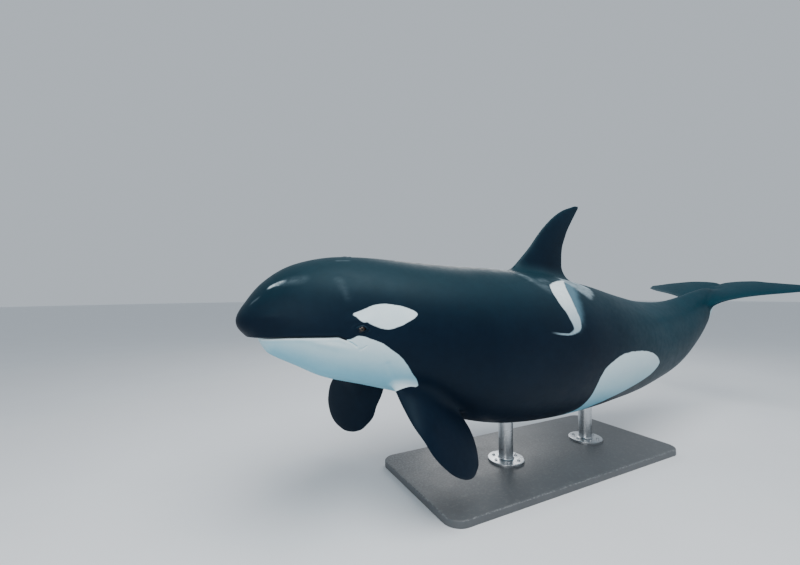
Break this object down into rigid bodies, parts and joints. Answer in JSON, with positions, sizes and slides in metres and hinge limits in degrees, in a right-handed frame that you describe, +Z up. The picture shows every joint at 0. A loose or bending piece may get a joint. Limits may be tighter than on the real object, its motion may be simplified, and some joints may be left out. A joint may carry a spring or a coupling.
{
  "type": "life-size orca model on a display stand",
  "caption": "Still, life-size orca in a level swimming pose, with lowered flippers and a raised tail, held by a flat base with short rods.",
  "frame": {"origin": "centre of the stand base's underside, on the floor", "axes": "+Z up, head towards -X, tail towards +X, the animal's left side towards -Y"},
  "size_m": [5.7993, 1.7374, 2.2989],
  "materials": {
    "black_skin": "smooth, satin, near-black skin with a cool tint",
    "white_skin": "smooth, satin, cool white skin",
    "eye": "glossy, very dark brown",
    "stand_paint": "matt dark grey paint",
    "stand_steel": "brushed"
  },
  "bodies": {
    "root": {"head": "black_skin", "lower_jaw": "white_skin", "chest": "black_skin", "midbody": "black_skin", "tail_stock": "black_skin", "dorsal_fin": "black_skin", "flipper_left": "black_skin", "flipper_right": "black_skin", "fluke_left": "black_skin", "fluke_right": "black_skin", "eye_left": "eye", "eye_right": "eye", "stand_base": "stand_paint", "stand_rod_front": "stand_steel", "stand_rod_rear": "stand_steel"}
  },
  "joints": []
}
